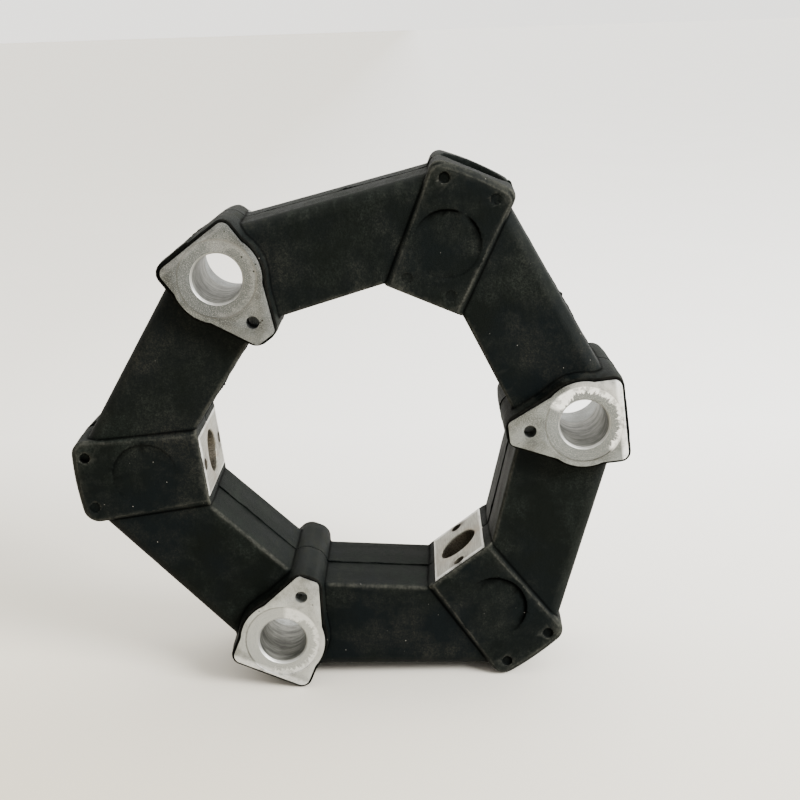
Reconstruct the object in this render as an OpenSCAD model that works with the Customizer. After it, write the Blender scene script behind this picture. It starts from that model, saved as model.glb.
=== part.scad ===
// Hexagonal rubber coupling element. One moulded rubber ring of six straight legs carries six
// cast aluminium inserts, bonded into it: three with a bore along the ring's axis alternate with
// three with a bore along the ring's radius. The ring stands on edge, on two of its corners,
// with its axis along Y, its front towards -Y and its centre at the origin.

/* [Ring] */
// Radius of the circle that the axial bores lie on
pitch_r = 82.5; // [76:0.5:92]
// Angle by which the ring is turned about its axis as it rests on two corners
stand_turn = 6.22; // [0:0.01:12]
// Half depth of the straight band round the middle of a leg and a block
band_half = 8; // [1:0.5:10]
// Clearance between the rubber and a bonded insert
bond_gap = 0.1; // [0.06:0.01:0.2]

/* [Axial inserts] */
// Depth of an axial insert, from front face to back face
axial_depth = 56; // [48:0.5:64]
// Distance from the bore's centre out to the outer flat
axial_outer_reach = 14.9; // [14:0.1:16]
// Distance from the bore's centre in to the nose
axial_nose_reach = 27.7; // [25:0.1:31]
// Half width between the parallel flanks
axial_half_w = 15.4; // [14:0.1:17]
// Radius of the round wall about the bore
axial_wall_r = 16.2; // [15.2:0.1:18]
// Distance from the bore's centre at which the round wall runs into the taper
taper_start = 11.1; // [9:0.1:13]
// Half width of the nose flat before its corners are rounded
nose_half_w = 4.1; // [3:0.1:6]
// Corner radius at the outer flat in the front half
axial_corner_r = 3; // [1:0.1:4]
// Corner radius at the outer flat in the rear half
axial_rear_corner_r = 9; // [3:0.1:10]
// Corner radius at the nose
nose_corner_r = 2; // [1:0.1:3]

/* [Axial bore] */
// Radius of the through bore
axial_bore_r = 9; // [7:0.1:10]
// Width of the chamfer at the front mouth
bore_chamfer = 0.65; // [0.3:0.05:1.2]
// Radius of the wide rear bore
rear_bore_r = 12.6; // [11:0.1:13.5]
// Depth of the wide rear bore
rear_bore_depth = 24.5; // [10:0.5:34]
// Radius of the shallow machined seat about the front mouth
spot_r = 14.2; // [12:0.1:15]
// Depth of the machined seat
spot_depth = 0.3; // [0.1:0.05:0.6]
// Radius of the blind locating hole near the nose
pin_r = 2.35; // [1.5:0.05:3]
// Distance of the locating hole from the bore's centre
pin_reach = 20; // [18:0.1:21.5]
// Depth of the locating hole
pin_depth = 7; // [4:0.5:12]

/* [Radial inserts] */
// Distance from the ring's axis to the bare inner face, less than the bore circle by this much
radial_inner_reach = 22.5; // [20:0.1:25]
// Distance from the bore circle out to the insert's outer end
radial_outer_reach = 22.5; // [21:0.1:23.5]
// Half width of the inner face
radial_inner_w = 12.3; // [11.5:0.1:12.8]
// Half width of the outer end
radial_outer_w = 14; // [13:0.1:15]
// Depth of a radial insert along the ring's axis
radial_depth = 40.8; // [36:0.2:44]
// Chamfer round the bare inner face
radial_chamfer = 0.8; // [0.3:0.1:1.5]
// Radius of the radial bore
radial_bore_r = 8.25; // [6:0.05:9.5]
// Chamfer of the radial bore at both ends
radial_bore_chamfer = 0.4; // [0.2:0.1:1]
// Radius of the two blind holes beside the radial bore
radial_pin_r = 2.2; // [1.2:0.1:2.5]
// Distance of those holes from the radial bore's centre
radial_pin_reach = 16.6; // [14:0.1:17]
// Depth of those holes
radial_pin_depth = 6; // [3:0.5:12]

/* [Rubber over the axial inserts] */
// Distance by which the bare metal face stands proud of the rubber rim
rim_below = 0.5; // [0.2:0.1:1.5]
// Thickness of the rubber at the rim
rim_cover = 1; // [0.6:0.1:2]
// Thickness of the rubber where a leg's face meets the boss
foot_cover = 1.4; // [0.8:0.1:3]
// Thickness of the rubber at the middle of its depth
ridge_cover = 1.4; // [1:0.1:4]
// Corner radius that the rubber follows at the middle of its depth
ridge_corner_r = 4.5; // [3:0.1:8]

/* [Rubber over the radial inserts] */
// Thickness of the rubber over the insert's front and back
face_cover = 1; // [0.6:0.1:3]
// Half width of the rubber face at its inner end
block_inner_w = 13.1; // [13:0.1:15]
// Half width of the rubber face at its outer end
block_outer_w = 15.6; // [15.2:0.1:18]
// Widening of the flanks at the level of the legs' faces, at the inner end
block_foot = 2.1; // [0.4:0.1:3]
// Widening of the flanks at the same level, at the outer end
block_foot_end = 0.8; // [0.2:0.1:2]
// Further widening of the flanks at the middle of the depth
block_ridge = 0.2; // [0:0.1:2]
// Distance from the bore circle out to the block's outer edge
block_outer_reach = 27; // [25:0.1:29]
// Further bulge of the outer end at the middle of its depth
block_bulge = 0.3; // [0.1:0.1:4]
// Bevel along the outer edge of a face
block_bevel = 1.8; // [0.5:0.1:3]
// Corner radius of a face at its outer end
block_corner_r = 3.2; // [2:0.1:6]
// Corner radius of the outer end between the faces
block_mid_corner_r = 5; // [3:0.1:7]
// Distance by which the bare inner face stands proud of the rubber
inner_below = 0.3; // [0.1:0.1:1]
// Radius of the bolt seat left bare in the outer end
seat_r = 13; // [11:0.1:13.6]

/* [Marks moulded in the faces] */
// Radius of the shallow round recess in a face
disc_r = 12.3; // [10:0.1:12.8]
// Depth of the round recess
disc_depth = 0.4; // [0.2:0.05:0.8]
// Radius of the four dimples in a face
dimple_r = 1.9; // [1.2:0.1:2.2]
// Depth of the dimples, which stop in the rubber
dimple_depth = 0.8; // [0.4:0.1:0.9]
// Distance of the outer dimples from the bore circle
dimple_outer_reach = 21.3; // [18:0.1:21.4]
// Half the distance between the outer dimples
dimple_outer_w = 9.9; // [8:0.1:11]
// Distance of the inner dimples from the bore circle
dimple_inner_reach = 16.8; // [16:0.1:18]
// Half the distance between the inner dimples
dimple_inner_w = 8.6; // [6:0.1:9.5]

/* [Legs] */
// Depth of a leg along the ring's axis
leg_depth = 40.6; // [36:0.2:41]
// Distance from the bore's centre in to the leg's inner side at an axial insert
leg_axial_in = 25.2; // [20:0.1:26]
// Distance from the bore's centre out to the leg's outer side at an axial insert
leg_axial_out = 13.9; // [9:0.1:14]
// Distance from the bore circle in to the leg's inner side at a radial insert
leg_radial_in = 18.8; // [14:0.1:20]
// Distance from the bore circle out to the leg's outer side at a radial insert
leg_radial_out = 24; // [18:0.1:24.5]
// Widening of a leg's inner side from its faces to the middle of its depth
leg_inner_draft = 0.3; // [0.1:0.1:3]
// Widening of a leg's outer side from its faces to the middle of its depth
leg_outer_draft = 0.3; // [0.1:0.1:3]
// Radius of the outer edges of a leg
leg_outer_edge_r = 5.5; // [1:0.1:8]
// Radius of the inner edges of a leg
leg_inner_edge_r = 1.2; // [0.5:0.1:4]

/* [Hidden] */

$fn = 96;
sets = 3;
step = 180 / sets;
thin = 0.02;
cut = 1;
rubber_colour = "#26292a";
metal_colour = "#b4b5b1";

// Where the legs' ends are buried in the inserts' pockets.
axial_root = 6;
radial_root = 11;

// Half width of the metal where the round wall meets the taper, the taper's slope, and the
// height of the nose corner's centre.
taper_w = sqrt(pow(axial_wall_r, 2) - pow(taper_start, 2));
taper_slope = atan2(taper_w - nose_half_w, axial_nose_reach - taper_start);
nose_w = nose_half_w - nose_corner_r * (1 - sin(taper_slope)) / cos(taper_slope);
rim_z = axial_depth / 2 - rim_below;
face_z = radial_depth / 2 + face_cover;
inner_face_r = pitch_r - radial_inner_reach;
outer_end_r = pitch_r + radial_outer_reach;
block_r = pitch_r + block_outer_reach;

// The ring's own frame has its axis along Z and its front up; this stands it on edge.
module standing() {
    rotate([90, 0, 0])
        rotate([0, 0, stand_turn])
            children();
}

module at_axial(i) {
    rotate([0, 0, 2 * step * i])
        translate([pitch_r, 0, 0])
            children();
}

module at_radial(i) {
    rotate([0, 0, step * (2 * i + 1)])
        children();
}

// A thin slice at height z of a flat outline.
module slice(z) {
    translate([0, 0, z])
        linear_extrude(height = thin, center = true)
            children();
}

// Outline of an axial insert about its bore: parallel flanks, round wall, taper and nose.
module axial_outline(corner_r) {
    translate([0, -axial_half_w])
        square([axial_outer_reach - corner_r, 2 * axial_half_w]);
    translate([0, corner_r - axial_half_w])
        square([axial_outer_reach, 2 * (axial_half_w - corner_r)]);
    intersection() {
        circle(r = axial_wall_r);
        translate([-axial_wall_r, -axial_wall_r])
            square([axial_wall_r + axial_outer_reach, 2 * axial_wall_r]);
    }
    for (s = [-1, 1]) {
        translate([axial_outer_reach - corner_r, s * (axial_half_w - corner_r)])
            circle(r = corner_r);
        translate([nose_corner_r - axial_nose_reach, s * nose_w])
            circle(r = nose_corner_r);
    }
    polygon([[0, taper_w], [-taper_start, taper_w],
             [-axial_nose_reach + nose_corner_r * (1 - sin(taper_slope)),
              nose_w + nose_corner_r * cos(taper_slope)],
             [-axial_nose_reach, nose_w], [-axial_nose_reach, -nose_w],
             [-axial_nose_reach + nose_corner_r * (1 - sin(taper_slope)),
              -nose_w - nose_corner_r * cos(taper_slope)],
             [-taper_start, -taper_w], [0, -taper_w]]);
}

// The same outline grown by a cover of rubber.
module covered_outline(cover, corner_r) {
    offset(r = cover, $fn = 24)
        axial_outline(corner_r, $fn = 40);
}

// Body of an axial insert: its rear corners are rounder than its front ones.
module axial_body() {
    linear_extrude(height = axial_depth / 2)
        axial_outline(axial_corner_r);
    translate([0, 0, -axial_depth / 2])
        linear_extrude(height = axial_depth / 2)
            axial_outline(axial_rear_corner_r);
}

// Aluminium insert with its bore along the ring's axis, centred on that bore.
module axial_insert() {
    difference() {
        axial_body();
        cylinder(h = axial_depth + cut, r = axial_bore_r, center = true);
        translate([0, 0, axial_depth / 2 - spot_depth - bore_chamfer])
            cylinder(h = bore_chamfer, r1 = axial_bore_r, r2 = axial_bore_r + bore_chamfer);
        translate([0, 0, axial_depth / 2 - spot_depth])
            cylinder(h = cut, r = spot_r);
        translate([0, 0, -axial_depth / 2 - cut])
            cylinder(h = cut + rear_bore_depth, r = rear_bore_r);
        translate([-pin_reach, 0, axial_depth / 2 - pin_depth])
            cylinder(h = pin_depth + cut, r = pin_r);
    }
}

// Plan of a radial insert, from the ring's axis outwards along X.
module radial_plan(grow) {
    polygon([[inner_face_r, radial_inner_w - radial_chamfer + grow],
             [inner_face_r + radial_chamfer, radial_inner_w + grow],
             [outer_end_r + grow, radial_outer_w + grow],
             [outer_end_r + grow, -radial_outer_w - grow],
             [inner_face_r + radial_chamfer, -radial_inner_w - grow],
             [inner_face_r, -radial_inner_w + radial_chamfer - grow]]);
}

// Side view of a radial insert, with the same chamfer at the inner face.
module radial_side(grow) {
    polygon([[inner_face_r, radial_depth / 2 - radial_chamfer + grow],
             [inner_face_r + radial_chamfer, radial_depth / 2 + grow],
             [outer_end_r + grow, radial_depth / 2 + grow],
             [outer_end_r + grow, -radial_depth / 2 - grow],
             [inner_face_r + radial_chamfer, -radial_depth / 2 - grow],
             [inner_face_r, -radial_depth / 2 + radial_chamfer - grow]]);
}

module radial_block(grow) {
    intersection() {
        linear_extrude(height = radial_depth + 2 * cut, center = true)
            radial_plan(grow);
        rotate([90, 0, 0])
            linear_extrude(height = 2 * radial_outer_w + 2 * cut, center = true)
                radial_side(grow);
    }
}

// Aluminium insert with its bore along the ring's radius.
module radial_insert() {
    difference() {
        radial_block(0);
        translate([inner_face_r - cut, 0, 0])
            rotate([0, 90, 0])
                cylinder(h = outer_end_r - inner_face_r + 2 * cut, r = radial_bore_r);
        translate([inner_face_r, 0, 0])
            rotate([0, 90, 0])
                cylinder(h = radial_bore_chamfer, r1 = radial_bore_r + radial_bore_chamfer,
                         r2 = radial_bore_r);
        translate([outer_end_r - radial_bore_chamfer, 0, 0])
            rotate([0, 90, 0])
                cylinder(h = radial_bore_chamfer, r1 = radial_bore_r,
                         r2 = radial_bore_r + radial_bore_chamfer);
        for (s = [-1, 1])
            translate([inner_face_r - cut, 0, s * radial_pin_reach])
                rotate([0, 90, 0])
                    cylinder(h = cut + radial_pin_depth, r = radial_pin_r);
    }
}

// Pocket for an axial insert, which follows its two halves.
module axial_pocket() {
    linear_extrude(height = axial_depth / 2)
        covered_outline(bond_gap, axial_corner_r);
    translate([0, 0, -axial_depth / 2])
        linear_extrude(height = axial_depth / 2 + bond_gap)
            covered_outline(bond_gap, axial_rear_corner_r);
}

// Rubber sleeve about an axial insert, widest at the middle of its depth.
module axial_boss() {
    hull() {
        slice(rim_z)
            covered_outline(rim_cover, axial_corner_r);
        slice(leg_depth / 2)
            covered_outline(foot_cover, axial_corner_r);
        slice(0)
            covered_outline(ridge_cover, ridge_corner_r);
        slice(-leg_depth / 2)
            covered_outline(foot_cover, axial_rear_corner_r);
        slice(-rim_z)
            covered_outline(rim_cover, axial_rear_corner_r);
    }
}

// Outline of the rubber over a radial insert: splayed flanks and an outer end on an arc.
module block_outline(inner_w, outer_w, end_r, corner_r) {
    start_r = inner_face_r + inner_below;
    wedge = [[start_r, inner_w], [block_r, outer_w], [block_r + 2 * block_bulge, outer_w],
             [block_r + 2 * block_bulge, -outer_w], [block_r, -outer_w], [start_r, -inner_w]];
    offset(r = corner_r, $fn = 28)
        offset(delta = -corner_r)
            intersection() {
                polygon(wedge);
                circle(r = end_r, $fn = 144);
            }
    intersection() {
        polygon(wedge);
        square([2 * pitch_r, 4 * block_outer_w], center = true);
    }
}

module block() {
    hull() {
        for (s = [-1, 1]) {
            slice(s * band_half)
                block_outline(block_inner_w + block_foot + block_ridge,
                              block_outer_w + block_foot_end + block_ridge,
                              block_r + block_bulge, block_mid_corner_r);
            slice(s * min(leg_depth / 2, face_z - block_bevel))
                block_outline(block_inner_w + block_foot, block_outer_w + block_foot_end,
                              block_r, block_mid_corner_r);
            slice(s * min(leg_depth / 2, face_z - block_bevel / 2))
                block_outline(block_inner_w + block_foot, block_outer_w + block_foot_end,
                              block_r - block_bevel / 4, block_mid_corner_r);
            slice(s * face_z)
                block_outline(block_inner_w, block_outer_w, block_r - block_bevel,
                              block_corner_r);
        }
    }
}

// Section of a leg: flat faces, rounded edges, and sides that widen to a ridge half way.
module leg_section(r_in, r_out) {
    rotate([90, 0, 0])
        linear_extrude(height = thin, center = true)
            hull() {
                for (s = [-1, 1]) {
                    translate([r_out - leg_outer_edge_r, s * (leg_depth / 2 - leg_outer_edge_r)])
                        circle(r = leg_outer_edge_r, $fn = 28);
                    translate([r_in + leg_inner_edge_r, s * (leg_depth / 2 - leg_inner_edge_r)])
                        circle(r = leg_inner_edge_r, $fn = 16);
                }
                translate([r_in - leg_inner_draft, -band_half])
                    square([r_out - r_in + leg_inner_draft + leg_outer_draft, 2 * band_half]);
            }
}

// A straight leg from an axial insert to the radial insert beside it, on side s.
module leg(s) {
    hull() {
        translate([0, s * axial_root, 0])
            leg_section(pitch_r - leg_axial_in, pitch_r + leg_axial_out);
        rotate([0, 0, s * step])
            translate([0, -s * radial_root, 0])
                leg_section(pitch_r - leg_radial_in, pitch_r + leg_radial_out);
    }
}

// Round recess and four dimples in one face of a rubber block.
module face_marks() {
    translate([pitch_r, 0, face_z - disc_depth])
        cylinder(h = cut, r = disc_r, $fn = 40);
    for (s = [-1, 1]) {
        translate([pitch_r + dimple_outer_reach, s * dimple_outer_w, face_z - dimple_depth])
            cylinder(h = cut, r = dimple_r, $fn = 14);
        translate([pitch_r - dimple_inner_reach, s * dimple_inner_w, face_z - dimple_depth])
            cylinder(h = cut, r = dimple_r, $fn = 14);
    }
}

// The one-piece rubber ring, with pockets that the inserts are bonded into.
module rubber_body() {
    color(rubber_colour)
        standing()
            difference() {
                for (i = [0 : sets - 1]) {
                    at_axial(i)
                        axial_boss();
                    at_radial(i)
                        block();
                    rotate([0, 0, 2 * step * i])
                        for (s = [-1, 1])
                            leg(s);
                }
                for (i = [0 : sets - 1]) {
                    at_axial(i)
                        axial_pocket();
                    at_radial(i) {
                        radial_block(bond_gap);
                        translate([outer_end_r, 0, 0])
                            rotate([0, 90, 0])
                                cylinder(h = block_outer_reach, r = seat_r, $fn = 36);
                        face_marks();
                        mirror([0, 0, 1])
                            face_marks();
                    }
                }
            }
}

module axial_insert_at(i) {
    color(metal_colour)
        standing()
            at_axial(i)
                axial_insert();
}

module radial_insert_at(i) {
    color(metal_colour)
        standing()
            at_radial(i)
                radial_insert();
}

rubber_body();
axial_insert_at(0);  // axial_insert_right
axial_insert_at(1);  // axial_insert_upper_left
axial_insert_at(2);  // axial_insert_lower_left
radial_insert_at(0);  // radial_insert_top
radial_insert_at(1);  // radial_insert_left
radial_insert_at(2);  // radial_insert_lower_right
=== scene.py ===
import math

import bmesh
import bpy
import numpy as np
import openvdb
from mathutils import Matrix, Vector


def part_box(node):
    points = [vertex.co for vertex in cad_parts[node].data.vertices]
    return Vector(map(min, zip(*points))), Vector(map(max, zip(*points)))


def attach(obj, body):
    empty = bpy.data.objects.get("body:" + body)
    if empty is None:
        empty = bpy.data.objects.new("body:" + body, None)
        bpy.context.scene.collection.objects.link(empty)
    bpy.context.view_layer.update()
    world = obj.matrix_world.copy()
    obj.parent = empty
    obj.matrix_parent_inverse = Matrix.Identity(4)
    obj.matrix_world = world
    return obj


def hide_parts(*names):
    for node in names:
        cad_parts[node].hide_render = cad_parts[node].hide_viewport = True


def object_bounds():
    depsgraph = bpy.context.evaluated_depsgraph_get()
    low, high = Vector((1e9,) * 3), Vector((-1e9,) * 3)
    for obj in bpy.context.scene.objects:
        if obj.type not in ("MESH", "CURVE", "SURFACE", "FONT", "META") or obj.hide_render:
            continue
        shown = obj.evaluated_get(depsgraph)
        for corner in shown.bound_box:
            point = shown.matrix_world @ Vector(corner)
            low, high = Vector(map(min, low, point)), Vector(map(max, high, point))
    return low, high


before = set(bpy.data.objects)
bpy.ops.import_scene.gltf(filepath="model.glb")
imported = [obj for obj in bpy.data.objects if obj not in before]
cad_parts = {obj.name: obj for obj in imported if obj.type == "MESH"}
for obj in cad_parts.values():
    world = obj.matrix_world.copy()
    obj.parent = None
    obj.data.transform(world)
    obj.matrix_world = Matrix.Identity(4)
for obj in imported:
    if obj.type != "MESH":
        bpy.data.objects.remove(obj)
cad_low, cad_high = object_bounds()


# ---------------------------------------------------------------------------------------------
# Axial inserts: three aluminium castings that lie in the mould with their bore along the ring's
# axis. Their cast skin is sanded bright on the faces, and a cutter has faced a round seat and
# chamfered the bore in the middle of each.
MM = 0.001
STAND_TURN = math.radians(6.22)
PITCH_R = 82.5
BORE_R = 9.0
SEAT_R = 14.2
# Node, place round the ring, seed of its markings, where a washer has scuffed it, share scuffed,
# and the two tones that its cast skin wanders between.
AXIAL_INSERTS = (("axial_insert_right", 0, 3, 46, 1.0, ("#525553", "#767a79")),
                 ("axial_insert_upper_left", 120, 11, 240, 0.1, ("#464949", "#6a6e6e")),
                 ("axial_insert_lower_left", 240, 23, 100, 0.6, ("#80827f", "#afb2b0")))


def linear(hex_colour):
    """An sRGB hex colour as the linear values that the shaders take."""
    parts = [int(hex_colour[i:i + 2], 16) / 255 for i in (1, 3, 5)]
    return tuple(c / 12.92 if c <= 0.04045 else ((c + 0.055) / 1.055) ** 2.4
                 for c in parts) + (1.0,)


def add(tree, kind, links=(), out=0, **settings):
    """Adds a node and returns one of its outputs. Settings name its properties. Links fill its
    inputs, in order or by name, with other outputs, values or hex colours."""
    node = tree.nodes.new(kind if "Node" in kind else "ShaderNode" + kind)
    for key, value in settings.items():
        setattr(node, key, value)
    for key, value in links.items() if isinstance(links, dict) else enumerate(links):
        if isinstance(value, str) and value.startswith("#"):
            value = linear(value)
        if isinstance(value, bpy.types.NodeSocket):
            tree.links.new(value, node.inputs[key])
        else:
            node.inputs[key].default_value = value
    return node.outputs[out] if len(node.outputs) else node


def new_material(name):
    """An empty material and its tree of nodes."""
    mat = bpy.data.materials.new(name)
    mat.use_nodes = True
    mat.node_tree.nodes.clear()
    return mat, mat.node_tree


def own_places(t, turn_deg, reach):
    """Millimetres from a point on the ring: X runs outwards, Y along the axis, Z round it."""
    a = STAND_TURN + math.radians(turn_deg)
    centre = Vector((reach * math.cos(a), 0, reach * math.sin(a))) * MM
    coords = add(t, "TexCoord", out="Object")
    local = add(t, "Mapping", {"Vector": coords, "Location": -centre})
    return add(t, "Mapping", {"Vector": local, "Rotation": (0, a, 0), "Scale": (1 / MM,) * 3})


def dressed_copy(node, edge, bore=None):
    """A merged copy of a CAD insert with its edges broken, as tumbling and sanding leave them.
    Where a bore's middle is given, a cutter held a little askew has widened its front chamfer."""
    mesh = bpy.data.meshes.new(node + "_metal")
    bm = bmesh.new()
    bm.from_mesh(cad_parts[node].data)
    bmesh.ops.remove_doubles(bm, verts=bm.verts, dist=2e-6)
    bmesh.ops.dissolve_limit(bm, angle_limit=math.radians(0.6), verts=bm.verts, edges=bm.edges)
    if bore is not None:
        face = min(v.co.y for v in bm.verts)
        for v in bm.verts:
            off = Vector((v.co.x - bore.x, 0, v.co.z - bore.z))
            if v.co.y < face + 0.02 * MM and off.length < (BORE_R + 0.8) * MM:
                v.co += (off.normalized() * 0.4 + Vector((-0.17, 0, -0.2))) * MM
            elif v.co.y < face + 1.2 * MM and off.length < (BORE_R + 0.05) * MM:
                v.co.y += 0.4 * MM
    bm.to_mesh(mesh)
    bm.free()
    for poly in mesh.polygons:
        poly.use_smooth = True
    obj = bpy.data.objects.new(node + "_metal", mesh)
    bpy.context.scene.collection.objects.link(obj)
    bevel = obj.modifiers.new("broken edges", "BEVEL")
    bevel.width = edge
    bevel.segments = 3
    bevel.limit_method = "ANGLE"
    bevel.angle_limit = math.radians(30)
    bevel.harden_normals = True
    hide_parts(node)
    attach(obj, "root")
    return obj


def axial_metal(name, turn_deg, seed, wear_turn, worn, tones):
    """Cast aluminium, sanded and in part turned: dull grey with a fine sparkle, and bright where
    it has been scuffed or freshly cut."""
    mat, t = new_material(name)
    here = own_places(t, turn_deg, PITCH_R)
    out, along, across = add(t, "SeparateXYZ", (here,)).node.outputs
    flat = add(t, "CombineXYZ", (out, across))
    radius = add(t, "VectorMath", (flat,), out="Value", operation="LENGTH")
    angle = add(t, "Math", (across, out), operation="ARCTAN2")
    shifted = add(t, "Mapping", {"Vector": here, "Location": (seed, seed * 2, 3)})
    # Only the front face and what lies within a millimetre of it was worked.
    front = add(t, "MapRange", (along, -27.0, -27.4))

    # Grain of the casting, about 0.3 mm, sanded patches of 3 mm and broad tones of 8 mm.
    grain = add(t, "TexNoise", {"Vector": here, "Scale": 3.0, "Detail": 4.0, "Roughness": 0.7})
    patch = add(t, "TexNoise", {"Vector": shifted, "Scale": 0.33, "Detail": 4.0, "Roughness": 0.65})
    cloud = add(t, "TexNoise", {"Vector": shifted, "Scale": 0.12, "Detail": 3.0, "Roughness": 0.6})
    cloudy = add(t, "MapRange", (cloud, 0.36, 0.62))
    cast = add(t, "Mix", {0: cloudy, 6: tones[0], 7: tones[1]}, out=2, data_type="RGBA")
    for share, colour in ((add(t, "MapRange", (grain, 0.5, 0.68, 0.0, 0.5)), "#d4d4d0"),
                          (add(t, "MapRange", (grain, 0.48, 0.34, 0.0, 0.4)), "#3f3e3b"),
                          (add(t, "MapRange", (patch, 0.52, 0.7, 0.0, 0.4)), "#5d5c57")):
        cast = add(t, "Mix", {0: share, 6: cast, 7: colour}, out=2, data_type="RGBA")

    # The seat: turned rings 0.4 mm apart, broken up along their length, inside a fine dark line of painted
    # shade at its step.
    rings_out = add(t, "Math", (radius, 2.4), operation="MULTIPLY")
    rings_round = add(t, "Math", (angle, 1.6), operation="MULTIPLY")
    rings_at = add(t, "CombineXYZ", (rings_out, rings_round, seed))
    rings = add(t, "TexNoise", {"Vector": rings_at, "Scale": 1.0, "Detail": 5.0, "Roughness": 0.65})
    ringed = add(t, "MapRange", (rings, 0.25, 0.75, 0.3, 0.8))
    seat = add(t, "Mix", {0: ringed, 6: tones[0], 7: tones[1]}, out=2, data_type="RGBA")
    sparkle = add(t, "MapRange", (grain, 0.5, 0.66, 0.0, 0.45))
    seat = add(t, "Mix", {0: sparkle, 6: seat, 7: "#d4d4d0"}, out=2, data_type="RGBA")
    on_seat = add(t, "MapRange", (radius, SEAT_R + 0.25, SEAT_R - 0.15))
    on_seat = add(t, "Math", (on_seat, front), operation="MULTIPLY")
    # Painted shade: a dark fine line where the seat steps down from the cast face.
    off_line = add(t, "Math", (radius, SEAT_R), operation="SUBTRACT")
    off_line = add(t, "Math", (off_line,), operation="ABSOLUTE")
    seat_step_shade = add(t, "MapRange", (off_line, 0.42, 0.12))
    for factor in (front, add(t, "MapRange", (patch, 0.4, 0.62, 0.4, 0.9))):
        seat_step_shade = add(t, "Math", (seat_step_shade, factor), operation="MULTIPLY")

    # Scuffs where a washer has rubbed: a bright band in one sector, torn along its inner side,
    # which reaches further in at one end.
    turned = add(t, "Math", (angle, math.radians(wear_turn)), operation="SUBTRACT")
    turned = add(t, "Math", (turned,), operation="COSINE")
    chatter_out = add(t, "Math", (radius, 0.35), operation="MULTIPLY")
    chatter_round = add(t, "Math", (angle, 13.0), operation="MULTIPLY")
    chatter_at = add(t, "CombineXYZ", (chatter_out, chatter_round, seed))
    chatter = add(t, "TexNoise", {"Vector": chatter_at, "Scale": 1.0, "Detail": 5.0, "Roughness": 0.7})
    reach_in = add(t, "Math", (angle, math.radians(wear_turn + 88)), operation="SUBTRACT")
    reach_in = add(t, "Math", (reach_in,), operation="COSINE")
    torn = radius
    for shift in (add(t, "MapRange", (chatter, 0.35, 0.65, -1.3, 1.3)),
                  add(t, "MapRange", (reach_in, 0.84, 0.96, 0.0, 2.6))):
        torn = add(t, "Math", (torn, shift), operation="ADD")
    rub = add(t, "MapRange", (turned, -0.2, -0.05))
    for factor in (add(t, "MapRange", (patch, 0.38, 0.5, 0.35, 1.0)),
                   add(t, "MapRange", (torn, 12.1, 12.5)),
                   add(t, "MapRange", (radius, SEAT_R + 0.5, SEAT_R)), front, worn):
        rub = add(t, "Math", (rub, factor), operation="MULTIPLY")
    # The face's outer edge, which has slid on the floor of a box, is as bright.
    slid = add(t, "MapRange", (out, 12.2, 13.2))
    for factor in (add(t, "MapRange", (patch, 0.35, 0.55, 0.3, 0.9)), front, worn):
        slid = add(t, "Math", (slid, factor), operation="MULTIPLY")
    scuffed = add(t, "Math", (rub, slid), operation="MAXIMUM")
    # On the scuffed side the cast skin beyond the seat is sanded too.
    sanded = add(t, "MapRange", (turned, 0.35, 0.75))
    for factor in (add(t, "MapRange", (radius, SEAT_R + 0.2, SEAT_R + 0.6)), front, worn * 0.6,
                   add(t, "MapRange", (patch, 0.35, 0.6, 0.4, 1.0))):
        sanded = add(t, "Math", (sanded, factor), operation="MULTIPLY")

    # Pits of the casting and specks of dirt, 0.4 to 0.8 mm wide, and few.
    pits = add(t, "TexVoronoi", {"Vector": shifted, "Scale": 0.2, "Randomness": 1.0}, out="Distance",
               feature="F1")
    pits = add(t, "MapRange", (pits, 0.05, 0.09, 0.9, 0.0))
    # Inside the bores the metal is duller, with grey bands left by the core.
    in_bore = add(t, "MapRange", (radius, BORE_R + 0.9, BORE_R + 0.3))
    in_bore = add(t, "Math", (in_bore, add(t, "MapRange", (along, -27.2, -26.8))), operation="MULTIPLY")
    squeezed = add(t, "Mapping", {"Vector": shifted, "Scale": (0.3, 1.2, 0.3)})
    banded = add(t, "TexNoise", {"Vector": squeezed, "Scale": 0.4, "Detail": 3.0, "Roughness": 0.6})
    banded = add(t, "MapRange", (banded, 0.35, 0.62))
    wall = add(t, "Mix", {0: banded, 6: "#62625e", 7: "#989892"}, out=2, data_type="RGBA")
    # The chamfer, known by its slant, is freshly cut, and its bright colour is partly a painted highlight.
    normal_y = add(t, "SeparateXYZ", (add(t, "NewGeometry", out="Normal"),), out="Y")
    facing = add(t, "Math", (normal_y,), operation="ABSOLUTE")
    chamfer = add(t, "MapRange", (facing, 0.96, 0.88))
    # Painted highlight, together with the fresh cut: the whole chamfer is given a bright colour.
    for factor in (add(t, "MapRange", (facing, 0.25, 0.45)),
                   add(t, "MapRange", (radius, BORE_R + 1.9, BORE_R + 1.6)),
                   add(t, "MapRange", (along, -26.4, -26.6))):
        chamfer = add(t, "Math", (chamfer, factor), operation="MULTIPLY")

    base = cast
    for share, colour in ((on_seat, seat), (seat_step_shade, "#5d5c57"), (sanded, "#dcdcda"),
                          (scuffed, "#f2f3f3"), (pits, "#23211e"), (in_bore, wall),
                          (chamfer, "#c4c4c0")):
        base = add(t, "Mix", {0: share, 6: base, 7: colour}, out=2, data_type="RGBA")
    rough = add(t, "MapRange", (grain, 0.3, 0.7, 0.38, 0.58))
    rough = add(t, "Math", (in_bore, 0.06, rough), operation="MULTIPLY_ADD")
    rough = add(t, "Math", (rub, -0.1, rough), operation="MULTIPLY_ADD")
    height = add(t, "Math", (rings, on_seat, grain), operation="MULTIPLY_ADD")
    height = add(t, "Math", (patch, 0.8, height), operation="MULTIPLY_ADD")
    bump = add(t, "Bump", {"Height": height, "Strength": 0.6, "Distance": 0.12 * MM})
    metal = add(t, "BsdfPrincipled", {"Base Color": base, "Roughness": rough, "Normal": bump,
                                      "Metallic": 1.0})
    add(t, "OutputMaterial", {"Surface": metal})
    return mat


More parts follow.
